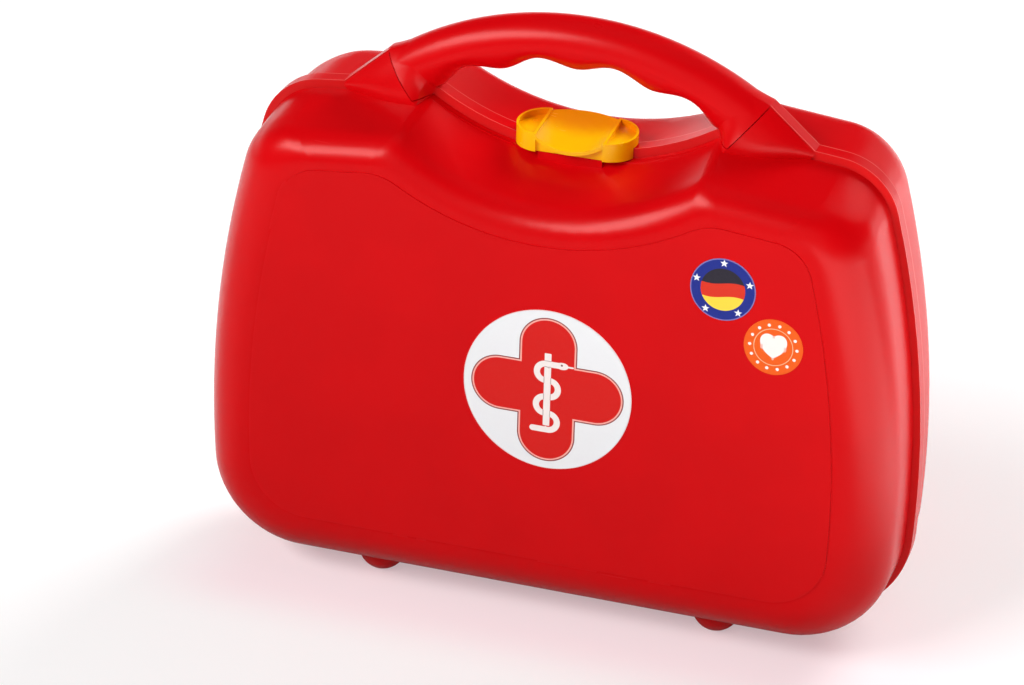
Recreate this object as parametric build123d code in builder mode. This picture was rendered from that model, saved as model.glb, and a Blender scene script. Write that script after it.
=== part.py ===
from build123d import *
import math
import os

# Toy doctor case: two moulded half shells hinged along the bottom, an arched grip on the
# rear shell and a snap latch in the saddle under the grip.
# Millimetres. X to the right, +Y to the back, Z up. The seam lies at Y = 0, and the origin
# is on the floor under the middle of the case.

os.makedirs("parts", exist_ok=True)

# ---- case outline, seen from the front ----
case_half_width = 135.5
side_curve_radius = 414.0
side_widest_height = 64.0
shell_bottom = 8.0
bottom_corner_radius = 37.0
shoulder_corner_radius = 23.0
shoulder_height = 196.2
shoulder_fall = 0.11
saddle_half_width = 55.5
saddle_height = 180.0
saddle_corner_radius = 6.0

# ---- depth of each half and how its edges turn in ----
half_depth = 43.0
wall = 2.2
side_draft = 0.015
side_round = 20.0
front_top_round = 12.5
rear_top_round = 10.5
front_shoulder_slope = 0.16
front_saddle_slope = 0.25
rear_top_slope = 0.0
straight_steps = 5
round_steps = 7
panel_margin = 0.9
panel_proud = 0.35

# ---- flange band over the seam, and the tongue that nests in it ----
flange_half_width = 3.5
flange_proud = 2.6
flange_end_height = 10.5
seam_gap = 0.3
tongue_thickness = 1.2
tongue_reach = 3.2
tongue_root = 3.0
tongue_bottom = 34.0

# ---- arched grip ----
grip_radius = 10.0
grip_arc_radius = 116.0
grip_end_x = 66.04
grip_end_height = 201.97
grip_end_angle = math.degrees(math.asin(grip_end_x / grip_arc_radius))
grip_centre_height = grip_end_height - math.sqrt(grip_arc_radius**2 - grip_end_x**2)
grip_overrun = 1.5
mouth_tilt = 41.0
finger_length = 31.0
finger_pitch = math.degrees(finger_length / grip_arc_radius)
finger_depth = 3.7
grip_section_step = finger_pitch / 4
tenon_radius = 6.5
tenon_length = 9.0
tenon_clearance = 0.05
root_length = 10.5
root_start_angle = grip_end_angle - math.degrees(root_length / grip_arc_radius)
root_inset = 0.25
root_apex = 11.3
root_depth = 18.0
root_steps = 4
root_turns = (20, 70, 120)

# ---- tent-shaped collars round the ends of the grip ----
collar_ridge = 11.0
collar_ridge_half_width = 3.3
collar_length = 24.0
collar_half_widths = (13.6, 12.6, 10.6, 7.4, 4.0)
collar_mouth_fall = 22.6
collar_end_fall = 4.6
collar_bulge = 0.12
collar_skirt = 8.0
socket_floor = 2.4
socket_wall = 2.0

# ---- grip screws ----
screw_head_radius = 3.4
screw_head_height = 2.2
screw_radius = 1.5
screw_length = 10.0
screw_play = 0.05

# ---- bottom hinge ----
hinge_height = 4.2
hinge_spacing = 67.5
hinge_pin_radius = 1.5
knuckle_radius = 3.5
knuckle_length = 10.0
knuckle_gap = 0.4
hinge_play = 0.05
knuckle_web_reach = 9.0

# ---- ball feet, four in all ----
foot_radius = 9.5
foot_land_drop = 0.3
foot_y = 19.5
foot_spacing = 67.5

# ---- latch ----
latch_half_width = 23.2
latch_front_y = -11.2
latch_back_y = 10.2
latch_pivot_y = 7.6
latch_pivot_height = 184.3
latch_bottom = latch_pivot_height - 2.7
latch_back_bottom = latch_pivot_height - 1.4
latch_middle_bottom = latch_pivot_height - 0.9
latch_ridge_front_height = latch_pivot_height + 4.3
latch_ridge_back_height = latch_pivot_height + 6.3
latch_ridge_x = 13.4
latch_ridge_width = 1.0
latch_dish_depth = 4.0
latch_dish_step = 0.7
latch_dish_steps = 5
latch_lip_bulge = 1.9
latch_lip_thickness = 1.4
latch_lip_overhang = 1.2
latch_rim_bulge = 2.6
latch_rim_bottom = latch_pivot_height + 2.7
latch_wing_rim = 0.9
latch_wing_depth = 2.2
latch_wing_half_width = 7.6
latch_wing_half_length = 12.5
latch_wing_x = 17.8
latch_pin_radius = 1.0
latch_pin_length = 29.0
latch_play = 0.05
latch_clearance = 0.45
lug_x = 9.5
lug_thickness = 3.0
lug_radius = 2.0
hook_half_width = 6.0
hook_thickness = 1.5
hook_height = latch_pivot_height - 5.2
barb_reach = 1.0
barb_height = 1.0
catch_gap = 0.3
catch_lip_height = 0.9
catch_stem = 2.4
catch_half_width = 12.4

# ---- round stickers on the front panel: centre x, centre height, radius ----
sticker_thickness = 0.2
cross_sticker = (4.5, 101.5, 32.5)
blue_sticker = (case_half_width - 66.3, 153.9, 12.2)
orange_sticker = (case_half_width - 46.5, 134.3, 11.0)


def export(part, name):
    """Name the finished piece and write it out."""
    part.label = name
    export_step(part, "parts/" + name + ".step")


def rounding(travel, start, radius):
    """How far a surface has turned in at a travel past the start of its round."""
    past = min(max(travel - start, 0.0), radius)
    return radius - math.sqrt(radius**2 - past**2)


def side_x(height, drawn_in):
    """Half width of the case at a height, with its side drawn in."""
    radius = side_curve_radius - drawn_in
    centre = case_half_width - side_curve_radius
    return centre + math.sqrt(radius**2 - (height - side_widest_height) ** 2)


def case_section(y, travel, inset, grow, top_round, shoulder_slope, saddle_slope):
    """Outline of the case as a face at y: its shape at a travel from the seam, drawn in, then grown."""
    side_in = inset + side_draft * travel + rounding(travel, half_depth - side_round, side_round - inset)
    top_start = half_depth - top_round
    top_turn = inset + rounding(travel, top_start, top_round - inset)
    shoulder_in = top_turn + shoulder_slope * min(travel, top_start)
    saddle_in = top_turn + saddle_slope * min(travel, top_start)
    floor = shell_bottom + inset + rounding(travel, half_depth - side_round, side_round - inset)
    saddle_x = saddle_half_width + 0.29 * top_turn + 0.05 * travel
    inner_z = shoulder_height - shoulder_in
    outer_x = side_x(inner_z, side_in)
    outer_z = inner_z - shoulder_fall * (outer_x - saddle_x)
    outer_x = side_x(outer_z, side_in)
    floor_x = side_x(floor, side_in)
    widest_x = side_x(side_widest_height, side_in)
    with BuildSketch(Plane.XZ.offset(-y)) as outline:
        with BuildLine():
            Line((-floor_x, floor), (floor_x, floor))
            ThreePointArc((floor_x, floor), (widest_x, side_widest_height), (outer_x, outer_z))
            Line((outer_x, outer_z), (saddle_x, inner_z))
            ThreePointArc((saddle_x, inner_z), (0, saddle_height - saddle_in), (-saddle_x, inner_z))
            Line((-saddle_x, inner_z), (-outer_x, outer_z))
            ThreePointArc((-outer_x, outer_z), (-widest_x, side_widest_height), (-floor_x, floor))
        make_face()
        for chosen, radius in (
            (lambda v: v.Y < side_widest_height, bottom_corner_radius - 0.65 * side_in),
            (lambda v: v.Y > side_widest_height and abs(v.X) > saddle_x + 20, shoulder_corner_radius - 0.5 * top_turn),
            (lambda v: v.Y > side_widest_height and abs(v.X) < saddle_x + 1, saddle_corner_radius + 1.2 * top_turn),
        ):
            fillet(outline.vertices().filter_by(chosen), radius)
        if grow:
            offset(amount=grow)
    return outline.sketch


def front_section(travel, inset=0.0, grow=0.0):
    """Outline of the front shell at a distance in front of the seam."""
    return case_section(-travel, travel, inset, grow, front_top_round, front_shoulder_slope, front_saddle_slope)


def rear_section(travel, inset=0.0, grow=0.0):
    """Outline of the rear shell at a distance behind the seam."""
    return case_section(travel, max(travel, 0.0), inset, grow, rear_top_round, rear_top_slope, rear_top_slope)


def seam_outline(grow):
    """The lid's outline at the seam, grown and carried straight forwards, as a private part."""
    with BuildPart(mode=Mode.PRIVATE) as prism:
        extrude(front_section(flange_half_width, grow=grow), amount=2 * half_depth)
    return prism.part


def travels(start, inset=0.0):
    """Evenly spaced distances from the seam at which a half shell's outlines are drawn."""
    side_start = half_depth - side_round
    straight = [start + (side_start - start) * step / straight_steps for step in range(straight_steps)]
    turns = [math.sin(math.pi / 2 * step / round_steps) for step in range(round_steps + 1)]
    return straight + [side_start + (side_round - inset) * turn for turn in turns]


def grip_point(angle, radial, side=1):
    """Point on the grip's arc plane at an angle from the top, off the centre line by radial."""
    reach = grip_arc_radius + radial
    x = side * reach * math.sin(math.radians(angle))
    return (x, 0, grip_centre_height + reach * math.cos(math.radians(angle)))


def grip_along(angle):
    """Direction along the grip at an angle from the top, on the side of positive X."""
    return Vector(math.cos(math.radians(angle)), 0, -math.sin(math.radians(angle)))


def mouth_plane(side, shift=0.0):
    """Plane across the mouth of a collar, facing into it, moved on by shift; its local Y points outwards."""
    tilt = math.radians(mouth_tilt)
    along = Vector(side * math.cos(tilt), 0, -math.sin(tilt))
    origin = Vector(*grip_point(grip_end_angle, 0, side)) + along * shift
    return Plane(origin=origin, x_dir=(0, side, 0), z_dir=along)


def collar(side, gap, y_range):
    """Tent-shaped collar from its mouth out to the flange, between two values of Y, as a private part."""
    sections = []
    for step, foot_x in enumerate(collar_half_widths):
        along = step / (len(collar_half_widths) - 1)
        fall = collar_mouth_fall + along * (collar_end_fall - collar_mouth_fall)
        foot_y = collar_ridge - fall
        middle_x = (collar_ridge_half_width + foot_x) / 2 + collar_bulge * fall
        middle_y = (collar_ridge + foot_y) / 2 + collar_bulge * (foot_x - collar_ridge_half_width)
        top = (collar_ridge_half_width, collar_ridge)
        with BuildSketch(mouth_plane(side, gap + along * (collar_length - gap))) as section:
            with BuildLine():
                Line((-top[0], top[1]), top)
                ThreePointArc(top, (middle_x, middle_y), (foot_x, foot_y))
                Polyline((foot_x, foot_y), (foot_x, foot_y - collar_skirt), (-foot_x, foot_y - collar_skirt),
                         (-foot_x, foot_y))
                ThreePointArc((-foot_x, foot_y), (-middle_x, middle_y), (-top[0], top[1]))
            make_face()
        sections.append(section.sketch)
    with BuildPart(mode=Mode.PRIVATE) as tent:
        loft(sections)
        add(block((-far, far), y_range, (-far, far)), mode=Mode.INTERSECT)
    return tent.part


def mouth_cylinder(side, radius, start, end):
    """Round bar square to a collar's mouth, from start to end past it, as a private part."""
    with BuildPart(mode=Mode.PRIVATE) as bar:
        with BuildSketch(mouth_plane(side, start)):
            Circle(radius)
        extrude(amount=end - start)
    return bar.part


def grip_root(side, past):
    """Flared end of the grip, from a round bar to the mouth of its collar and on past it, as a private part."""
    mouth_x, mouth_y = collar_half_widths[0], collar_ridge - collar_mouth_fall
    flank_x = (collar_ridge_half_width + mouth_x) / 2 + collar_bulge * collar_mouth_fall
    flank_y = (collar_ridge + mouth_y) / 2 + collar_bulge * (mouth_x - collar_ridge_half_width)
    radius = grip_radius - root_inset
    shoulder_x, shoulder_y, side_x, side_y, low_x, low_y = (
        radius * turn(math.radians(angle)) for angle in root_turns for turn in (math.sin, math.cos))
    bar = ((0, radius), (shoulder_x, shoulder_y), (side_x, side_y), (low_x, low_y), (0, -radius))
    mouth = ((0, root_apex), (collar_ridge_half_width, collar_ridge), (flank_x, flank_y), (mouth_x, mouth_y),
             (0, -root_depth))
    sections = []
    for step in range(root_steps + 1):
        along = step / root_steps
        flare = along**2
        angle = root_start_angle + along * (grip_end_angle - root_start_angle)
        tilt = math.radians(root_start_angle + along * (mouth_tilt - root_start_angle))
        plane = Plane(origin=grip_point(angle, 0, side), x_dir=(0, side, 0),
                      z_dir=(side * math.cos(tilt), 0, -math.sin(tilt)))
        apex, top, flank, low, under = (
            tuple(b + flare * (m - b) for b, m in zip(round_point, mouth_point))
            for round_point, mouth_point in zip(bar, mouth))
        with BuildSketch(plane) as section:
            with BuildLine():
                ThreePointArc((-top[0], top[1]), apex, top)
                ThreePointArc(top, flank, low)
                ThreePointArc(low, under, (-low[0], low[1]))
                ThreePointArc((-low[0], low[1]), (-flank[0], flank[1]), (-top[0], top[1]))
            make_face()
        sections.append(section.sketch)
    with BuildPart(mode=Mode.PRIVATE) as root:
        loft(sections)
        if past:
            extrude(sections[-1], amount=past)
    return root.part


def block(x_range, y_range, z_range):
    """Box between two values along each axis, as a private part."""
    size = [high - low for low, high in (x_range, y_range, z_range)]
    middle = tuple((high + low) / 2 for low, high in (x_range, y_range, z_range))
    with BuildPart(mode=Mode.PRIVATE) as box:
        with Locations(middle):
            Box(*size)
    return box.part


def cross_bar(x_from, x_to, y, z, radius):
    """Round bar along X, as a private part."""
    with BuildPart(mode=Mode.PRIVATE) as bar:
        with BuildSketch(Plane.YZ.offset(x_from)):
            with Locations((y, z)):
                Circle(radius)
        extrude(amount=x_to - x_from)
    return bar.part


def foot(x, facing):
    """Ball foot with a small flat land, in front of (-1) or behind (1) the hinge."""
    with BuildPart(mode=Mode.PRIVATE) as pad:
        with Locations((x, facing * foot_y, foot_radius - foot_land_drop)):
            Sphere(foot_radius)
        add(block((-far, far), (-far, far), (0, shell_bottom + wall / 2)), mode=Mode.INTERSECT)
    return pad.part


seam_front = flange_half_width + seam_gap
tongue_inset = wall + seam_gap
tongue_inner = tongue_inset + tongue_thickness
socket_end = tenon_length + socket_floor
socket_radius = tenon_radius + socket_wall
panel_face = half_depth + panel_proud
far = 4 * case_half_width
grip_sides = (1, -1)
foot_places = (foot_spacing, -foot_spacing)
hinge_places = (hinge_spacing, -hinge_spacing)
knuckle_pitch = knuckle_length + knuckle_gap
knuckle_half = knuckle_length / 2
web_bottom = hinge_height - knuckle_radius + 1.0
web_top = shell_bottom + wall / 2
pin_half = knuckle_pitch + knuckle_half
flange_clear_y = flange_half_width + latch_clearance
dish_half = latch_ridge_x - latch_ridge_width / 2
latch_width_y = latch_back_y - latch_front_y
latch_middle_y = (latch_back_y + latch_front_y) / 2
latch_slope = (latch_ridge_back_height - latch_ridge_front_height) / latch_width_y
latch_reach_front = latch_front_y - 2 * latch_lip_bulge
latch_reach_back = latch_back_y + 2 * latch_rim_bulge
wing_bowl = scale(Sphere(1), by=(latch_wing_half_width, latch_wing_half_length, latch_wing_depth))
hook_back_y = -flange_clear_y - catch_gap
hook_front_y = hook_back_y - hook_thickness
catch_lip_y = hook_front_y - catch_gap
catch_back_y = hook_front_y - barb_reach - catch_gap
catch_front_y = catch_back_y - catch_stem
catch_top = hook_height + barb_height + catch_gap + catch_lip_height

# ---- rear shell: the tray that carries the grip, the latch and the hinge pins ----
with BuildPart() as rear_envelope:
    loft([rear_section(t) for t in travels(-flange_half_width)])
    extrude(rear_section(half_depth, grow=-panel_margin), amount=-panel_proud)
    # flange band, open along the bottom
    with BuildPart(mode=Mode.PRIVATE) as flange_band:
        extrude(rear_section(-flange_half_width, grow=flange_proud), amount=-2 * flange_half_width)
        add(block((-far, far), (-far, far), (-far, flange_end_height)), mode=Mode.SUBTRACT)
    add(flange_band.part)
    for side in grip_sides:
        add(collar(side, 0, (-flange_half_width, far)))

with BuildPart() as rear_shell:
    add(rear_envelope.part)
    loft([rear_section(t, wall) for t in travels(-flange_half_width - 1, wall)], mode=Mode.SUBTRACT)
    for side in grip_sides:
        # socket for the grip's tenon, kept inside the outer skin
        with BuildPart(mode=Mode.PRIVATE) as socket:
            add(mouth_cylinder(side, socket_radius, 0, socket_end))
            add(rear_envelope.part, mode=Mode.INTERSECT)
        add(socket.part)
        add(mouth_cylinder(side, tenon_radius + tenon_clearance, 0, tenon_length), mode=Mode.SUBTRACT)
        add(mouth_cylinder(side, screw_radius + screw_play, 0, 2 * socket_end), mode=Mode.SUBTRACT)
        add(mouth_cylinder(side, screw_head_radius + seam_gap, socket_end, 3 * socket_end), mode=Mode.SUBTRACT)
    for x in foot_places:
        add(foot(x, 1))
    for x in hinge_places:
        for knuckle_x in (x - knuckle_pitch, x + knuckle_pitch):
            span = (knuckle_x - knuckle_half, knuckle_x + knuckle_half)
            add(cross_bar(*span, 0, hinge_height, knuckle_radius))
            add(block(span, (-knuckle_radius / 2, knuckle_web_reach), (hinge_height, web_top)))
            add(block(span, (0, knuckle_web_reach), (web_bottom, web_top)))
        add(cross_bar(x - far, x + far, 0, hinge_height, hinge_pin_radius + hinge_play), mode=Mode.SUBTRACT)
    for side in grip_sides:
        # latch lugs behind the flange
        lug = (side * lug_x - lug_thickness / 2, side * lug_x + lug_thickness / 2)
        add(cross_bar(*lug, latch_pivot_y, latch_pivot_height, lug_radius))
        add(block(lug, (latch_pivot_y - lug_radius, latch_pivot_y + lug_radius),
                  (saddle_height - wall / 2, latch_pivot_height)))
    add(cross_bar(-latch_pin_length, latch_pin_length, latch_pivot_y, latch_pivot_height,
                  latch_pin_radius + latch_play), mode=Mode.SUBTRACT)

# ---- front shell: the lid, with a tongue that nests inside the flange ----
with BuildPart() as front_tongue:
    with BuildPart(mode=Mode.PRIVATE) as tongue_rear:
        extrude(front_section(0, grow=-tongue_inset), amount=seam_front + tongue_root, both=True)
        extrude(front_section(0, grow=-tongue_inner), amount=far, both=True, mode=Mode.SUBTRACT)
        add(block((-far, far), (tongue_reach - seam_front, far), (-far, far)), mode=Mode.SUBTRACT)
    with BuildPart(mode=Mode.PRIVATE) as tongue_step:
        extrude(front_section(0, grow=-wall / 2), amount=seam_front + tongue_root)
        extrude(front_section(0, grow=-tongue_inner), amount=far, both=True, mode=Mode.SUBTRACT)
        add(block((-far, far), (-seam_front, far), (-far, far)), mode=Mode.SUBTRACT)
    add(tongue_rear.part)
    add(tongue_step.part)
    add(block((-far, far), (-far, far), (-far, tongue_bottom)), mode=Mode.SUBTRACT)
    for side in grip_sides:
        add(mouth_cylinder(side, socket_radius + seam_gap, -socket_end, 2 * socket_end), mode=Mode.SUBTRACT)

with BuildPart() as front_shell:
    loft([front_section(t) for t in travels(seam_front)])
    extrude(front_section(half_depth, grow=-panel_margin), amount=panel_proud)
    for side in grip_sides:
        add(collar(side, seam_gap, (-far, -seam_front)))
        # seat under the root of the grip, level from the seam forwards so that it swings clear
        with BuildPart(mode=Mode.PRIVATE) as seat:
            add(grip_root(side, 2 * seam_gap))
            add(seam_outline(0), mode=Mode.INTERSECT)
            add(block((-far, far), (-far, -seam_front), (-far, far)), mode=Mode.INTERSECT)
        add(seat.part)
    loft([front_section(t, wall) for t in travels(seam_front - 1, wall)], mode=Mode.SUBTRACT)
    add(front_tongue.part)
    for side in grip_sides:
        add(mouth_cylinder(side, tenon_radius + seam_gap, 0, 2 * socket_end), mode=Mode.SUBTRACT)
    for x in foot_places:
        add(foot(x, -1))
    for x in hinge_places:
        span = (x - knuckle_half, x + knuckle_half)
        add(cross_bar(*span, 0, hinge_height, knuckle_radius))
        add(block(span, (-knuckle_web_reach, 0), (web_bottom, hinge_height + knuckle_radius)))
        add(block(span, (-knuckle_web_reach, -seam_front), (web_bottom, web_top)))
        add(cross_bar(x - far, x + far, 0, hinge_height, hinge_pin_radius + hinge_play), mode=Mode.SUBTRACT)
    # catch for the latch hook: a stem with a backward lip
    add(block((-catch_half_width, catch_half_width), (catch_front_y, catch_back_y),
              (saddle_height - 3 * wall, catch_top)))
    add(block((-hook_half_width, hook_half_width), (catch_back_y, catch_lip_y),
              (catch_top - catch_lip_height, catch_top)))

# ---- grip: round bar on an arc, scooped for the fingers underneath, with a tenon at each end ----
with BuildPart() as grip:
    finger_steps = round(2 * finger_pitch / grip_section_step)
    angles = [step * grip_section_step for step in range(-finger_steps, finger_steps + 1)]
    sections = []
    for angle in [-grip_end_angle - grip_overrun] + angles + [grip_end_angle + grip_overrun]:
        scoop = 0.0
        if abs(angle) < 2 * finger_pitch:
            scoop = finger_depth * (1 - math.cos(2 * math.pi * angle / finger_pitch)) / 2
        across = Plane(origin=grip_point(angle, 0), x_dir=(0, 1, 0), z_dir=grip_along(angle))
        with BuildSketch(across, mode=Mode.PRIVATE) as section:
            with BuildLine():
                CenterArc((0, 0), grip_radius, 0, 180)
                EllipticalCenterArc((0, 0), grip_radius, grip_radius - scoop, 180, arc_size=180)
            make_face()
        sections.append(section.sketch)
    loft(sections)
    for side in grip_sides:
        add(mouth_cylinder(side, 2 * grip_radius, 0, 2 * grip_radius), mode=Mode.SUBTRACT)
        add(grip_root(side, 0))
    # the roots sit on the flange and hang clear of the lid
    add(rear_envelope.part, mode=Mode.SUBTRACT)
    add(seam_outline(seam_gap), mode=Mode.SUBTRACT)
    for side in grip_sides:
        add(mouth_cylinder(side, tenon_radius, 0, tenon_length))
        add(mouth_cylinder(side, screw_radius + screw_play, 0, tenon_length), mode=Mode.SUBTRACT)

# ---- two screws that hold the grip from inside the tray ----
with BuildPart() as grip_screws:
    for side in grip_sides:
        add(mouth_cylinder(side, screw_radius, socket_end - screw_length, socket_end))
        add(mouth_cylinder(side, screw_head_radius, socket_end, socket_end + screw_head_height))

# ---- hinge pins ----
with BuildPart() as hinge_pin_right:
    add(cross_bar(hinge_spacing - pin_half, hinge_spacing + pin_half, 0, hinge_height, hinge_pin_radius))

with BuildPart() as hinge_pin_left:
    add(cross_bar(-hinge_spacing - pin_half, -hinge_spacing + pin_half, 0, hinge_height, hinge_pin_radius))



def ridge_height(y):
    """Height of the latch's two ridges at a value of Y."""
    return latch_ridge_front_height + latch_slope * (y - latch_front_y)


def thumb_dish(lower):
    """Space over the thumb pad, steep behind and nearly flat in front, lowered, as a private part."""
    sections = []
    for step in range(latch_dish_steps + 1):
        y = latch_reach_back + (latch_reach_front - latch_reach_back) * step / latch_dish_steps
        rise = min(max((y - latch_front_y) / latch_width_y, 0.0), 1.0)
        edge = ridge_height(y) - latch_dish_step - lower
        middle = edge - max((latch_dish_depth - latch_dish_step) * (1 - rise**2), latch_dish_step / 4)
        with BuildSketch(Plane.XZ.offset(-y)) as section:
            with BuildLine():
                ThreePointArc((-dish_half, edge), (0, middle), (dish_half, edge))
                Polyline((dish_half, edge), (dish_half, edge + latch_width_y), (-dish_half, edge + latch_width_y),
                         (-dish_half, edge))
            make_face()
        sections.append(section.sketch)
    with BuildPart(mode=Mode.PRIVATE) as space:
        loft(sections)
    return space.part


def wing_dish(side):
    """Round-floored space in a wing, between its ridge and a thin rim, as a private part."""
    reach = sorted((side * (latch_ridge_x + latch_ridge_width / 2), side * latch_half_width))
    with BuildPart(mode=Mode.PRIVATE) as space:
        with BuildSketch(Plane.XY.offset(latch_rim_bottom)):
            with Locations((0, latch_middle_y)):
                SlotOverall(2 * (latch_half_width - latch_wing_rim), latch_width_y - 2 * latch_wing_rim)
        extrude(amount=latch_width_y)
        add(block(reach, (latch_front_y, latch_back_y), (latch_rim_bottom, far)), mode=Mode.INTERSECT)
        with Locations((side * latch_wing_x, latch_middle_y, ridge_height(latch_middle_y))):
            add(wing_bowl, mode=Mode.INTERSECT)
    return space.part


# ---- latch: a rocking clip with a scooped thumb pad between two ridges ----
with BuildPart() as latch_clip:
    with BuildSketch(Plane.XY.offset(latch_bottom)):
        with Locations((0, latch_middle_y)):
            SlotOverall(2 * latch_half_width, latch_width_y)
        # lip that bulges forward of the body
        with BuildLine():
            ThreePointArc((-dish_half, latch_front_y), (0, latch_front_y - latch_lip_bulge),
                          (dish_half, latch_front_y))
            Line((dish_half, latch_front_y), (-dish_half, latch_front_y))
        make_face()
    extrude(amount=2 * (latch_ridge_back_height - latch_bottom))
    # rim that bulges behind it
    with BuildSketch(Plane.XY.offset(latch_rim_bottom)):
        with BuildLine():
            ThreePointArc((-dish_half, latch_back_y), (0, latch_back_y + latch_rim_bulge), (dish_half, latch_back_y))
            Polyline((dish_half, latch_back_y), (dish_half, latch_middle_y), (-dish_half, latch_middle_y),
                     (-dish_half, latch_back_y))
        make_face()
    extrude(amount=2 * (latch_ridge_back_height - latch_bottom))
    with BuildSketch(Plane.YZ.offset(-latch_half_width)):
        with BuildLine():
            Polyline((latch_reach_front, latch_bottom), (latch_reach_front, ridge_height(latch_reach_front)),
                     (latch_reach_back, ridge_height(latch_reach_back)), (latch_reach_back, latch_back_bottom),
                     (flange_clear_y, latch_back_bottom), (flange_clear_y, latch_middle_bottom),
                     (-flange_clear_y, latch_middle_bottom), (-flange_clear_y, latch_bottom), close=True)
        make_face()
    extrude(amount=2 * latch_half_width, mode=Mode.INTERSECT)
    add(thumb_dish(0), mode=Mode.SUBTRACT)
    # recess under the lip
    with BuildPart(mode=Mode.PRIVATE) as recess:
        add(block((-dish_half, dish_half), (latch_reach_front, latch_front_y + latch_lip_overhang),
                  (latch_bottom - 1, latch_ridge_front_height)))
        add(thumb_dish(latch_lip_thickness), mode=Mode.SUBTRACT)
    add(recess.part, mode=Mode.SUBTRACT)
    for side in grip_sides:
        add(wing_dish(side), mode=Mode.SUBTRACT)
    # clear of the flange
    with BuildPart(mode=Mode.PRIVATE) as flange_room:
        extrude(rear_section(-flange_clear_y, grow=flange_proud + latch_clearance), amount=-2 * flange_clear_y)
    add(flange_room.part, mode=Mode.SUBTRACT)
    # slots for the lugs, and the pin's bore
    for side in grip_sides:
        slot = (side * lug_x - lug_thickness / 2 - latch_clearance, side * lug_x + lug_thickness / 2 + latch_clearance)
        add(block(slot, (latch_pivot_y - lug_radius - 2 * latch_clearance, latch_back_y + 1),
                  (latch_bottom - 1, latch_pivot_height + lug_radius + latch_clearance)), mode=Mode.SUBTRACT)
    add(cross_bar(-latch_pin_length / 2 - latch_play, latch_pin_length / 2 + latch_play, latch_pivot_y,
                  latch_pivot_height, latch_pin_radius + latch_play), mode=Mode.SUBTRACT)
    # hook
    add(block((-hook_half_width, hook_half_width), (hook_front_y, hook_back_y), (hook_height, latch_bottom + 1)))
    add(block((-hook_half_width, hook_half_width), (hook_front_y - barb_reach, hook_front_y),
              (hook_height, hook_height + barb_height)))

with BuildPart() as latch_pin:
    add(cross_bar(-latch_pin_length / 2, latch_pin_length / 2, latch_pivot_y, latch_pivot_height, latch_pin_radius))


def sticker(place):
    """Thin round sticker on the front panel."""
    x, height, radius = place
    with BuildPart(mode=Mode.PRIVATE) as disc:
        with BuildSketch(Plane.XZ.offset(panel_face)):
            with Locations((x, height)):
                Circle(radius)
        extrude(amount=sticker_thickness)
    return disc.part


pieces = {
    "rear_shell": rear_shell.part,
    "front_shell": front_shell.part,
    "grip": grip.part,
    "grip_screws": grip_screws.part,
    "hinge_pin_right": hinge_pin_right.part,
    "hinge_pin_left": hinge_pin_left.part,
    "latch_clip": latch_clip.part,
    "latch_pin": latch_pin.part,
    "sticker_cross": sticker(cross_sticker),
    "sticker_blue": sticker(blue_sticker),
    "sticker_orange": sticker(orange_sticker),
}
for name, piece in pieces.items():
    export(piece, name)
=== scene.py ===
import math

import bpy
from bpy.props import FloatProperty, FloatVectorProperty, PointerProperty
from mathutils import Matrix, Vector


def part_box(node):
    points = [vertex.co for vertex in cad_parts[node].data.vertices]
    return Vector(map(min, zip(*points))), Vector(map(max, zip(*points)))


bl_info = {
    "name": "Toy doctor case",
    "version": (1, 0, 0),
    "blender": (4, 5, 0),
    "location": "View3D > Sidebar > Doctor case",
    "description": "Dresses the toy doctor case: moulded red shells, grip, yellow latch, stickers and stage",
    "category": "Object",
}

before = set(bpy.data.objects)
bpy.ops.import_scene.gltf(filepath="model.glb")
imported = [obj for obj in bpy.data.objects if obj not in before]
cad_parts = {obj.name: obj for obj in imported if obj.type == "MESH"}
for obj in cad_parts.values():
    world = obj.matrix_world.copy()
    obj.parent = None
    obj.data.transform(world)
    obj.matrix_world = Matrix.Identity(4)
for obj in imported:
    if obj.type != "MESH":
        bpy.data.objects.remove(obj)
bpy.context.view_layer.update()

MM = 0.001
IMAGE_WIDTH = 1024
IMAGE_HEIGHT = 685
SENSOR_WIDTH = 36.0
WHITE = (1.0, 1.0, 1.0, 1.0)

# moulded red plastic
SHELL_ROUGHNESS = 0.26
GRIP_ROUGHNESS = 0.28
PANEL_ROUGHER = 0.14
RED_IOR = 1.35
RED_GLOSS_TINT = (1.0, 0.62, 0.6, 1.0)
PANEL_MARGIN = 0.1 * MM
PANEL_FADE = 0.3 * MM
# painted highlight lines along both edges of the rear shell's flange
RIM_Y = 3.2 * MM
RIM_HALF_WIDTH = 0.18 * MM
RIM_SOFTNESS = 0.2 * MM
RIM_HIGHLIGHT_STRENGTH = 0.34
RIM_HIGHLIGHT_COLOUR = (1.0, 0.30, 0.26, 1.0)
SOLE_LOW = 0.4 * MM
SOLE_HIGH = 1.6 * MM

# translucent yellow plastic
LATCH_ROUGHNESS = 0.26
LATCH_IOR = 1.49
# where the painted shade on the latch starts, before its middle, and ends, behind it
LATCH_SHADE_START = 4.0 * MM
LATCH_SHADE_END = 7.0 * MM
LATCH_EDGE_ANGLE = 35.0

# stickers
INK_EDGE = 0.09 * MM
PRINT_ROUGHNESS = 0.34
PRINT_IOR = 1.45
STAR_COUNT = 5
DOT_COUNT = 14

# floor, its camera-only glow, its glow in reflections, and the surroundings
FLOOR_SIZE = 14.0
FLOOR_PAPER = (0.9, 0.9, 0.9, 1.0)
FLOOR_SPECKLE = (0.87, 0.87, 0.88, 1.0)
FLOOR_BEFORE = (0.5, 0.5, 0.5, 1.0)
# pink of the painted reflection of the red case on the floor before it
FLOOR_RED_REFLECTION = (1.0, 0.76, 0.81, 1.0)
GLOW_ALL = 0.12
GLOW_BEFORE = 0.42
GLOW_ASIDE = 2.4
BACKDROP = 0.94
BACKDROP_MIRRORED = 1.3
AMBIENT = 0.03


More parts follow.
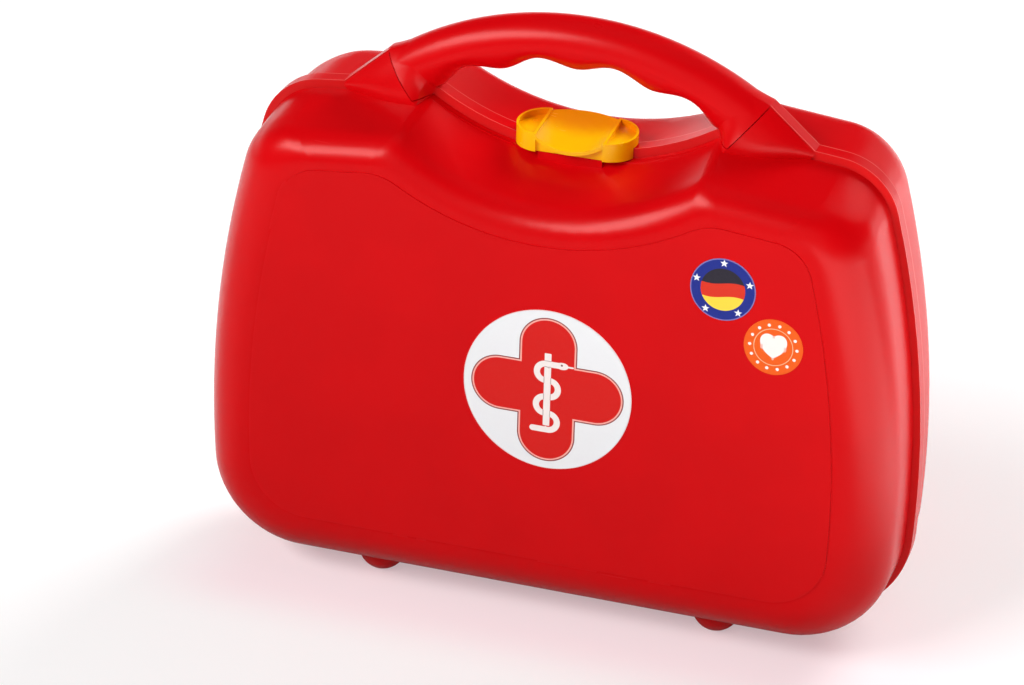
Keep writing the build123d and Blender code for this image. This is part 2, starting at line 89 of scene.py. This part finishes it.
# name, place, aim, width, height, watts, seen in the gloss
STUDIO_LIGHTS = (
    ("key", (-1.25, -1.35, 1.50), (0, 0, 0.12), 1.6, 0.8, 44.0, True),
    ("front_fill", (0.3, -2.6, 1.0), (0, 0, 0.1), 2.2, 2.2, 14.0, False),
    ("overhead_fill", (0.0, 0.2, 2.0), (0, 0, 0.1), 1.6, 1.6, 4.0, False),
    ("rear", (0.9, 1.9, 1.3), (0.25, 0.35, 0.0), 1.2, 1.2, 64.0, False),
)


# ---------------------------------------------------------------- shader maths

class Value:
    """A shader socket that takes part in Python expressions."""

    def __init__(self, graph, socket):
        self.graph = graph
        self.socket = socket

    def __add__(self, other):
        return self.graph.math("ADD", self, other)

    def __sub__(self, other):
        return self.graph.math("SUBTRACT", self, other)

    def __rsub__(self, other):
        return self.graph.math("SUBTRACT", other, self)

    def __mul__(self, other):
        return self.graph.math("MULTIPLY", self, other)

    def __truediv__(self, other):
        return self.graph.math("DIVIDE", self, other)

    def __pow__(self, other):
        return self.graph.math("POWER", self, other)

    def __mod__(self, other):
        return self.graph.math("FLOORED_MODULO", self, other)

    def __abs__(self):
        return self.graph.math("ABSOLUTE", self)

    __radd__ = __add__
    __rmul__ = __mul__


class Graph:
    """A node tree, built by expressions and one node method."""

    def __init__(self, owner):
        owner.use_nodes = True
        self.owner = owner
        self.tree = owner.node_tree
        self.tree.nodes.clear()

    def node(self, kind, settings=(), **values):
        """Add a node: first its settings, then its sockets.

        A socket is given by its name, with underscores for spaces, or by its place, as i and a number.
        """
        made = self.tree.nodes.new(kind)
        for key, setting in dict(settings).items():
            setattr(made, key, setting)
        for key, value in values.items():
            index = int(key[1:]) if key[0] == "i" and key[1:].isdigit() else key.replace("_", " ")
            self.feed(made.inputs[index], value)
        return made

    def feed(self, socket, value):
        if isinstance(value, Value):
            self.tree.links.new(value.socket, socket)
        elif isinstance(value, bpy.types.NodeSocket):
            self.tree.links.new(value, socket)
        else:
            socket.default_value = value

    def out(self, node, name=0):
        return Value(self, node.outputs[name])

    def math(self, operation, first, second=0.0):
        return self.out(self.node("ShaderNodeMath", {"operation": operation}, i0=first, i1=second))

    def lower(self, first, second):
        return self.math("MINIMUM", first, second)

    def higher(self, first, second):
        return self.math("MAXIMUM", first, second)

    def ramp(self, value, low, high, out_low=0.0, out_high=1.0):
        """Smooth step of a value from low to high."""
        settings = {"interpolation_type": "SMOOTHSTEP"}
        return self.out(self.node("ShaderNodeMapRange", settings, Value=value, From_Min=low, From_Max=high,
                                  To_Min=out_low, To_Max=out_high))

    def colour(self, factor, first, second):
        """Mix of two colours."""
        mix = self.node("ShaderNodeMix", {"data_type": "RGBA"})
        self.feed(mix.inputs["Factor"], factor)
        self.feed(mix.inputs["A"], first)
        self.feed(mix.inputs["B"], second)
        return self.out(mix, 2)

    def place(self):
        """Object coordinates: the vector, and x, y and z."""
        vector = self.out(self.node("ShaderNodeTexCoord"), "Object")
        parts = self.node("ShaderNodeSeparateXYZ", Vector=vector)
        return vector, self.out(parts, "X"), self.out(parts, "Y"), self.out(parts, "Z")

    def noise(self, vector, scale, detail=2.0, roughness=0.5, stretch=(1, 1, 1)):
        if stretch != (1, 1, 1):
            vector = self.out(self.node("ShaderNodeMapping", Vector=vector, Scale=stretch))
        made = self.node("ShaderNodeTexNoise", Vector=vector, Scale=scale, Detail=detail, Roughness=roughness)
        return self.out(made, "Fac")

    def length(self, u, v):
        return (u * u + v * v) ** 0.5

    def turn(self, u, v):
        """Angle of a point about the origin."""
        return self.math("ARCTAN2", v, u)

    def ink(self, distance, edge=INK_EDGE):
        """1 where a distance is below zero, soft over the print's edge."""
        return self.ramp(distance, -edge, edge, 1.0, 0.0)

    def bar(self, u, v, half_length):
        """Distance to a line along u, from minus to plus half_length."""
        return self.length(self.higher(abs(u) - half_length, 0.0), v)

    def star(self, u, v, outer, inner):
        """Signed distance to a five-pointed star, one point up."""
        points = 5
        step = math.pi / points
        fold = abs((self.turn(v, u) + step) % (2 * step) - step)
        reach = self.length(u, v)
        along, across = reach * self.math("COSINE", fold), reach * self.math("SINE", fold)
        inner_along, inner_across = inner * math.cos(step), inner * math.sin(step)
        run, rise = inner_along - outer, inner_across
        size = math.hypot(run, rise)
        return (along - outer) * (rise / size) - across * (run / size)

    def bump(self, height, distance, strength=1.0):
        return self.out(self.node("ShaderNodeBump", Height=height, Distance=distance, Strength=strength))

    def finish(self, **sockets):
        """A Principled shader on the output."""
        shader = self.node("ShaderNodeBsdfPrincipled", **sockets)
        self.node("ShaderNodeOutputMaterial", Surface=shader.outputs[0])
        return self.owner


def new_material(name):
    return Graph(bpy.data.materials.new(name))


def linear(colour):
    """Screen colour, 0 to 1, as the linear colour that a shader takes."""
    return tuple(c / 12.92 if c <= 0.04045 else ((c + 0.055) / 1.055) ** 2.4 for c in colour[:3]) + (1.0,)


def wear_material(node, material):
    """Dress a node in one material."""
    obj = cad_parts[node]
    obj.data.materials.clear()
    obj.data.materials.append(material)


# ---------------------------------------------------------------- materials

def moulded_red(name, colour, roughness, panel_y=None, rim_y=None):
    """Moulded polypropylene with faint flow marks and scuffs.

    It has a grained panel before panel_y, and painted highlight lines along the flange rims at rim_y on both
    sides, where these are given.
    """
    g = new_material(name)
    vector, _, y, z = g.place()
    cloud = g.noise(vector, 28.0, 3.0)
    wave = g.noise(vector, 45.0, 1.0)
    grain = g.noise(vector, 1500.0, 2.0)
    base = linear(colour)
    deep = tuple(c * 0.96 for c in base[:3]) + (1.0,)
    pale = (base[0] * 1.1, base[1] + 0.05, base[2] + 0.05, 1.0)
    shade = g.colour(g.ramp(cloud, 0.35, 0.65), deep, base)
    # short hairline scuffs, few and faint
    field = g.noise(vector, 420.0, 1.0, 0.5, stretch=(0.07, 0.07, 1.0))
    where = g.noise(vector, 14.0, 1.0)
    scuff = g.ramp(field, 0.76, 0.82) * g.ramp(where, 0.56, 0.66)
    # rubbed undersides of the feet
    rubbed = g.ramp(z, SOLE_LOW, SOLE_HIGH, 1.0, 0.0) * g.ramp(grain, 0.35, 0.65, 0.4, 1.0)
    shade = g.colour(scuff * 0.03 + rubbed * 0.6, shade, pale)
    if rim_y is not None:
        # painted highlight: pale lines along both edges of the flange, where a rounded edge would catch the
        # light
        rim = g.ink(abs(abs(y) - rim_y) - RIM_HALF_WIDTH, RIM_SOFTNESS)
        shade = g.colour(rim * RIM_HIGHLIGHT_STRENGTH, shade, RIM_HIGHLIGHT_COLOUR)
    rough = roughness + (cloud - 0.5) * 0.03 + scuff * 0.1 + rubbed * 0.25
    height = wave * 0.2 + grain * 0.012 - scuff * 0.01
    if panel_y is not None:
        panel = g.ramp(y, panel_y, panel_y + PANEL_FADE, 1.0, 0.0)
        rough = rough + panel * PANEL_ROUGHER
        height = height + panel * grain * 0.05
    return g.finish(Base_Color=shade, Roughness=rough, IOR=RED_IOR, Specular_Tint=RED_GLOSS_TINT,
                    Normal=g.bump(height, 0.0004, 0.5))


def latch_plastic(name, colour, low, high):
    """Translucent yellow plastic, with painted shade: a deeper orange towards the back, paler on the front
    lip.
    """
    g = new_material(name)
    vector, _, y, _ = g.place()
    middle = (low[1] + high[1]) / 2
    cloud = g.noise(vector, 160.0, 2.0)
    base = linear(colour)
    # painted shade: the back of the latch is coloured a deeper orange, as if less lit, and the front lip
    # stays paler
    deep = (base[0] * 0.80, base[1] * 0.46, 0.0, 1.0)
    back = g.ramp(y + (cloud - 0.5) * 0.003, middle - LATCH_SHADE_START, middle + LATCH_SHADE_END)
    scratch = g.ramp(g.noise(vector, 700.0, 1.0, 0.5, stretch=(0.1, 1.0, 1.0)), 0.76, 0.82)
    shade = g.colour(back, base, deep)
    shade = g.colour(scratch * 0.03, shade, (1.0, 0.85, 0.35, 1.0))
    rough = LATCH_ROUGHNESS + (cloud - 0.5) * 0.08 + scratch * 0.1
    return g.finish(Base_Color=shade, Roughness=rough, IOR=LATCH_IOR, Subsurface_Weight=0.12,
                    Subsurface_Scale=0.002, Subsurface_Radius=(1.0, 0.5, 0.1),
                    Normal=g.bump(cloud, 0.0002, 0.4))


def glossy_print(g, vector, shade):
    """Varnished paper: faint fibre, dust specks and an uneven gloss over a printed colour."""
    fibre = g.noise(vector, 900.0, 2.0)
    cloud = g.noise(vector, 90.0, 2.0)
    specks = g.ramp(g.noise(vector, 650.0, 1.0), 0.80, 0.84)
    shade = g.colour(specks * 0.25 + fibre * 0.03, shade, (0.35, 0.30, 0.28, 1.0))
    return g.finish(Base_Color=shade, Roughness=PRINT_ROUGHNESS + (cloud - 0.5) * 0.12, IOR=PRINT_IOR,
                    Specular_IOR_Level=0.3, Normal=g.bump(fibre, 0.00003, 0.4))


def ink_colour(*colour):
    """Screen colour, 0 to 255, as the linear colour that a shader takes."""
    return linear(tuple(c / 255 for c in colour))


def cross_print(name, centre, radius, red):
    """Red cross with round ends on white, with a rod and serpent in the middle."""
    g = new_material(name)
    vector, x, _, z = g.place()
    u, v = x - centre[0], z - centre[1]
    arm, reach = radius * 0.345, radius * 0.565
    cross = g.lower(g.bar(u, v, reach), g.bar(v, u, reach)) - arm
    white, red = ink_colour(244, 244, 246), linear(red)
    shade = g.colour(g.ink(cross), white, ink_colour(140, 52, 52))
    shade = g.colour(g.ink(cross + 0.45 * MM), shade, ink_colour(255, 178, 168))
    shade = g.colour(g.ink(cross + 1.05 * MM), shade, red)
    # rod, and a serpent of half turns joined by short rows
    rod_centre, rod_half, rod_round, rod_width = 0.2 * MM, 14.9 * MM, 14.4 * MM, 1.3 * MM
    rod = g.bar(v - rod_centre, u, rod_round) - rod_width
    rod = g.higher(rod, abs(v - rod_centre) - rod_half)
    bend, tube, shift = 3.4 * MM, 1.2 * MM, 0.75 * MM
    turns, neck_height, end_row = 4, 10.8 * MM, 3.0 * MM
    serpent = None
    for turn in range(turns):
        side = 1 if turn % 2 else -1
        height = neck_height - (2 * turn + 1) * bend
        ring = abs(g.length(u - side * shift, v - height) - bend)
        arc = g.higher(ring, (side * shift - u) * side)
        serpent = arc if serpent is None else g.lower(serpent, arc)
    for row in range(1, turns):
        serpent = g.lower(serpent, g.bar(u, v - (neck_height - row * 2 * bend), shift))
    neck = g.bar(u - 2.2 * MM, v - neck_height, end_row)
    tail = g.bar(u + 2.2 * MM, v - (neck_height - turns * 2 * bend), end_row)
    serpent = g.lower(g.lower(serpent, neck), tail) - tube
    head = g.length((u - 5.6 * MM) * 0.62, v - neck_height) - 1.45 * MM
    tongue = g.bar(u - 8.6 * MM, v - neck_height, 1.1 * MM) - 0.35 * MM
    serpent = g.lower(g.lower(serpent, head), tongue)
    shade = g.colour(g.ink(g.lower(rod, serpent)), shade, ink_colour(252, 240, 236))
    over = g.ramp(abs(v - neck_height), 2.2 * MM, 2.4 * MM, 1.0, 0.0)
    line = 0.16 * MM
    rod_line = g.ink(abs(rod) - line) * g.ink(serpent) * (1.0 - over)
    serpent_line = g.ink(abs(serpent) - line) * g.ink(rod) * over
    eye = g.ink(g.length(u - 5.4 * MM, v - 11.1 * MM) - 0.4 * MM)
    shade = g.colour(g.higher(g.higher(rod_line, serpent_line) * 0.55, eye), shade, ink_colour(120, 50, 48))
    rim = g.ink(radius - 0.35 * MM - g.length(u, v))
    shade = g.colour(rim * 0.5, shade, ink_colour(235, 200, 200))
    return glossy_print(g, vector, shade)


def ring_print(name, centre, radius, blue):
    """Blue ring of evenly spaced white stars round three wavy bands."""
    g = new_material(name)
    vector, x, _, z = g.place()
    u, v = x - centre[0], z - centre[1]
    reach = g.length(u, v)
    inner, middle = radius * 0.68, radius * 0.85
    wave = g.math("SINE", u / (radius * 0.24)) * (radius * 0.05)
    bands = g.colour(g.ink(v - radius * 0.2 - wave), ink_colour(44, 40, 52), ink_colour(222, 52, 32))
    bands = g.colour(g.ink(v + radius * 0.24 - wave), bands, ink_colour(252, 218, 70))
    fold = math.pi / STAR_COUNT
    angle = g.turn(u, v)
    segment = (angle + fold / 2) % (2 * fold) - fold
    across, out = reach * g.math("SINE", segment), reach * g.math("COSINE", segment) - middle
    star = g.star(across, out, radius * 0.125, radius * 0.055)
    shade = g.colour(g.ink(reach - inner), linear(blue), bands)
    shade = g.colour(g.ink(star), shade, ink_colour(248, 248, 252))
    shade = g.colour(g.ink(radius - 0.4 * MM - reach) * 0.7, shade, ink_colour(150, 140, 200))
    return glossy_print(g, vector, shade)


def heart_print(name, centre, radius, orange):
    """White heart in a ring of dots on orange."""
    g = new_material(name)
    vector, x, _, z = g.place()
    u, v = x - centre[0], z - centre[1]
    reach = g.length(u, v)
    fold = math.pi / DOT_COUNT
    segment = (g.turn(u, v) + fold) % (2 * fold) - fold
    dot = g.length(reach * g.math("SINE", segment), reach * g.math("COSINE", segment) - radius * 0.8)
    # the heart curve (a² + b² - 1)³ = a² b³
    heart_size, heart_drop = radius * 0.4, radius * 0.03
    a, b = u / heart_size, (v + heart_drop) / heart_size
    bowl = a * a + b * b - 1.0
    heart = bowl * bowl * bowl - a * a * b * b * b
    shade = g.colour(g.ink(dot - radius * 0.055), linear(orange), ink_colour(252, 246, 240))
    shade = g.colour(g.ramp(heart, -0.02, 0.02, 1.0, 0.0), shade, ink_colour(252, 246, 240))
    shade = g.colour(g.ink(abs(reach - radius * 0.66) - 0.12 * MM), shade, ink_colour(252, 200, 160))
    return glossy_print(g, vector, shade)


def bright_steel(name):
    """Zinc-plated steel with fine drawing marks and dull patches."""
    g = new_material(name)
    vector, *_ = g.place()
    drawn = g.noise(vector, 900.0, 2.0, 0.6, stretch=(0.15, 1.0, 1.0))
    dull = g.noise(vector, 260.0, 3.0)
    shade = g.colour(g.ramp(dull, 0.4, 0.7), (0.55, 0.56, 0.58, 1.0), (0.36, 0.35, 0.34, 1.0))
    return g.finish(Base_Color=shade, Metallic=1.0, Roughness=0.24 + dull * 0.22 + drawn * 0.08,
                    Normal=g.bump(drawn, 0.00005, 0.5))


# ---------------------------------------------------------------- sizes and colours

class CameraSizes(bpy.types.PropertyGroup):
    azimuth: FloatProperty(name="Azimuth", description="Direction of view round the case", default=17.43)
    elevation: FloatProperty(name="Elevation", description="Height of view above the horizon", default=26.44)
    roll: FloatProperty(name="Roll", description="Tilt of the picture", default=1.59)
    lens: FloatProperty(name="Lens", description="Focal length in millimetres", default=137.2)
    distance: FloatProperty(name="Distance", description="Depth of the aim point", default=1.44227,
                            unit="LENGTH")
    aim: FloatVectorProperty(name="Aim point", description="Point on the front panel", size=3,
                             default=(0.00447, -0.043, 0.1015), subtype="XYZ")
    aim_pixel: FloatVectorProperty(name="Aim pixel", description="Where the aim point falls in the picture",
                                   size=2, default=(547.4, 389.5))


class LatchSizes(bpy.types.PropertyGroup):
    edge_round: FloatProperty(name="Edge round", description="Rounding of the latch's edges", default=0.00035,
                              unit="LENGTH")


class CaseColours(bpy.types.PropertyGroup):
    case_red: FloatVectorProperty(name="Case red", description="Moulded shells", size=3,
                                  default=(0.84, 0.01, 0.04), subtype="COLOR_GAMMA")
    latch_yellow: FloatVectorProperty(name="Latch yellow", description="Latch clip", size=3,
                                      default=(1.0, 0.76, 0.0), subtype="COLOR_GAMMA")
    cross_red: FloatVectorProperty(name="Cross red", description="Cross on the large sticker", size=3,
                                   default=(0.86, 0.09, 0.07), subtype="COLOR_GAMMA")
    sticker_blue: FloatVectorProperty(name="Sticker blue", description="Small round sticker", size=3,
                                      default=(0.12, 0.18, 0.55), subtype="COLOR_GAMMA")
    sticker_orange: FloatVectorProperty(name="Sticker orange", description="Small round sticker", size=3,
                                        default=(0.96, 0.38, 0.08), subtype="COLOR_GAMMA")


# ---------------------------------------------------------------- operators

class CASE_OT_camera(bpy.types.Operator):
    """Place the camera"""
    bl_idname = "doctor_case.camera"
    bl_label = "Camera"

    def execute(self, context):
        sizes = context.scene.case_camera
        azimuth, elevation, roll = (math.radians(a) for a in (sizes.azimuth, sizes.elevation, sizes.roll))
        back = Vector((math.sin(azimuth) * math.cos(elevation), -math.cos(azimuth) * math.cos(elevation),
                       math.sin(elevation)))
        level = Vector((math.cos(azimuth), math.sin(azimuth), 0.0))
        upright = back.cross(level)
        right = level * math.cos(roll) + upright * math.sin(roll)
        up = upright * math.cos(roll) - level * math.sin(roll)
        data = bpy.data.cameras.new("camera")
        data.sensor_width = SENSOR_WIDTH
        data.lens = sizes.lens
        pixels = sizes.lens / data.sensor_width * IMAGE_WIDTH
        aside = (sizes.aim_pixel[0] - IMAGE_WIDTH / 2) * sizes.distance / pixels
        above = (IMAGE_HEIGHT / 2 - sizes.aim_pixel[1]) * sizes.distance / pixels
        place = Vector(sizes.aim) + back * sizes.distance - right * aside - up * above
        camera = bpy.data.objects.new("camera", data)
        turn = Matrix((right, up, back)).transposed().to_4x4()
        camera.matrix_world = Matrix.Translation(place) @ turn
        context.scene.collection.objects.link(camera)
        context.scene.camera = camera
        return {"FINISHED"}


class CASE_OT_stage(bpy.types.Operator):
    """Floor, studio light and pale surroundings"""
    bl_idname = "doctor_case.stage"
    bl_label = "Stage"

    def execute(self, context):
        bpy.ops.object.select_all(action="DESELECT")
        bpy.ops.mesh.primitive_plane_add(size=FLOOR_SIZE, location=(0, 0, 0))
        floor = context.object
        floor.name = "floor"
        g = new_material("floor_white")
        vector, x, y, _ = g.place()
        path = g.node("ShaderNodeLightPath")
        seen = g.out(path, "Is Camera Ray")
        before = g.ramp(y, -0.05, 0.08, 1.0, 0.0) * g.ramp(x, 0.12, 0.3, 1.0, 0.0)
        aside = g.ramp(x, 0.2, 0.34) * g.ramp(y, 0.0, 0.2, 1.0, 0.0) * g.out(path, "Is Reflection Ray")
        speckle = g.noise(vector, 400.0, 2.0)
        paper = g.colour(speckle * 0.2, FLOOR_PAPER, FLOOR_SPECKLE)
        paper = g.colour(before, paper, FLOOR_BEFORE)
        diffuse = g.node("ShaderNodeBsdfDiffuse", Color=paper)
        # painted reflection: the camera-only glow turns pink on the floor just before the case, as the red
        # case's reflection in its shadow
        reflection_zone = before * g.ramp(y, -0.085, -0.045) * g.ramp(x, -0.17, -0.11)
        red_reflection = g.colour(reflection_zone, WHITE, FLOOR_RED_REFLECTION)
        strength = seen * (GLOW_ALL + before * GLOW_BEFORE) + aside * GLOW_ASIDE
        glow = g.node("ShaderNodeEmission", Color=red_reflection, Strength=strength)
        both = g.node("ShaderNodeAddShader", i0=diffuse.outputs[0], i1=glow.outputs[0])
        g.node("ShaderNodeOutputMaterial", Surface=both.outputs[0])
        floor.data.materials.append(g.owner)
        world = bpy.data.worlds.new("studio")
        context.scene.world = world
        w = Graph(world)
        parts = w.node("ShaderNodeSeparateXYZ", Vector=w.out(w.node("ShaderNodeTexCoord"), "Generated"))
        behind = w.ramp(w.out(parts, "Y"), -0.3, 0.5)
        low = w.ramp(w.out(parts, "Z"), 0.04, 0.24, 1.0, 0.0)
        seen = w.out(w.node("ShaderNodeLightPath"), "Is Camera Ray")
        strength = w.higher(seen * BACKDROP, behind * low * BACKDROP_MIRRORED + AMBIENT)
        light = w.node("ShaderNodeBackground", Color=WHITE, Strength=strength)
        w.node("ShaderNodeOutputWorld", Surface=light.outputs[0])
        for name, spot, aim, width, height, power, mirrored in STUDIO_LIGHTS:
            data = bpy.data.lights.new(name, "AREA")
            data.shape = "RECTANGLE"
            data.size = width
            data.size_y = height
            data.energy = power
            lamp = bpy.data.objects.new(name, data)
            lamp.location = spot
            lamp.rotation_euler = (Vector(aim) - Vector(spot)).to_track_quat("-Z", "Y").to_euler()
            lamp.visible_glossy = mirrored
            context.scene.collection.objects.link(lamp)
        context.scene.view_settings.view_transform = "Standard"
        return {"FINISHED"}


class CASE_OT_shells(bpy.types.Operator):
    """Red moulded finish of the two shells and the grip"""
    bl_idname = "doctor_case.shells"
    bl_label = "Shells and grip"

    def execute(self, context):
        colours = context.scene.case_colours
        low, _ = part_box("front_shell")
        wear_material("front_shell", moulded_red("front_red", colours.case_red, SHELL_ROUGHNESS,
                                                 panel_y=low[1] + PANEL_MARGIN))
        wear_material("rear_shell", moulded_red("rear_red", colours.case_red, SHELL_ROUGHNESS, rim_y=RIM_Y))
        wear_material("grip", moulded_red("grip_red", colours.case_red, GRIP_ROUGHNESS))
        return {"FINISHED"}


class CASE_OT_latch(bpy.types.Operator):
    """Yellow latch clip, with rounded edges"""
    bl_idname = "doctor_case.latch"
    bl_label = "Latch"

    def execute(self, context):
        colours = context.scene.case_colours
        low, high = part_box("latch_clip")
        wear_material("latch_clip", latch_plastic("latch_yellow", colours.latch_yellow, low, high))
        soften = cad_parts["latch_clip"].modifiers.new("moulded_edges", "BEVEL")
        soften.width = context.scene.case_latch.edge_round
        soften.segments = 2
        soften.limit_method = "ANGLE"
        soften.angle_limit = math.radians(LATCH_EDGE_ANGLE)
        return {"FINISHED"}


class CASE_OT_stickers(bpy.types.Operator):
    """Round printed stickers"""
    bl_idname = "doctor_case.stickers"
    bl_label = "Stickers"

    def execute(self, context):
        colours = context.scene.case_colours
        for node, printed, colour in (("sticker_cross", cross_print, colours.cross_red),
                                      ("sticker_blue", ring_print, colours.sticker_blue),
                                      ("sticker_orange", heart_print, colours.sticker_orange)):
            low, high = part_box(node)
            centre = ((low[0] + high[0]) / 2, (low[2] + high[2]) / 2)
            wear_material(node, printed(node + "_print", centre, (high[0] - low[0]) / 2, colour))
        return {"FINISHED"}


class CASE_OT_metal(bpy.types.Operator):
    """Steel pins and screws"""
    bl_idname = "doctor_case.metal"
    bl_label = "Pins and screws"

    def execute(self, context):
        steel = bright_steel("zinc_steel")
        for node in ("grip_screws", "hinge_pin_right", "hinge_pin_left", "latch_pin"):
            wear_material(node, steel)
        return {"FINISHED"}


class CASE_PT_panel(bpy.types.Panel):
    """Buttons for each part of the case"""
    bl_idname = "CASE_PT_panel"
    bl_label = "Doctor case"
    bl_space_type = "VIEW_3D"
    bl_region_type = "UI"
    bl_category = "Doctor case"

    def draw(self, context):
        for operator in OPERATORS:
            self.layout.operator(operator.bl_idname)


GROUPS = {"case_camera": CameraSizes, "case_latch": LatchSizes, "case_colours": CaseColours}
OPERATORS = (CASE_OT_camera, CASE_OT_stage, CASE_OT_shells, CASE_OT_latch, CASE_OT_stickers, CASE_OT_metal)


def register():
    for group in GROUPS.values():
        bpy.utils.register_class(group)
    for operator in OPERATORS + (CASE_PT_panel,):
        bpy.utils.register_class(operator)
    for name, group in GROUPS.items():
        setattr(bpy.types.Scene, name, PointerProperty(type=group))


def unregister():
    for name in GROUPS:
        delattr(bpy.types.Scene, name)
    for operator in reversed(OPERATORS + (CASE_PT_panel,)):
        bpy.utils.unregister_class(operator)
    for group in GROUPS.values():
        bpy.utils.unregister_class(group)


def main():
    register()
    for operator in OPERATORS:
        group, name = operator.bl_idname.split(".")
        getattr(getattr(bpy.ops, group), name)()


if __name__ == "__main__":
    main()
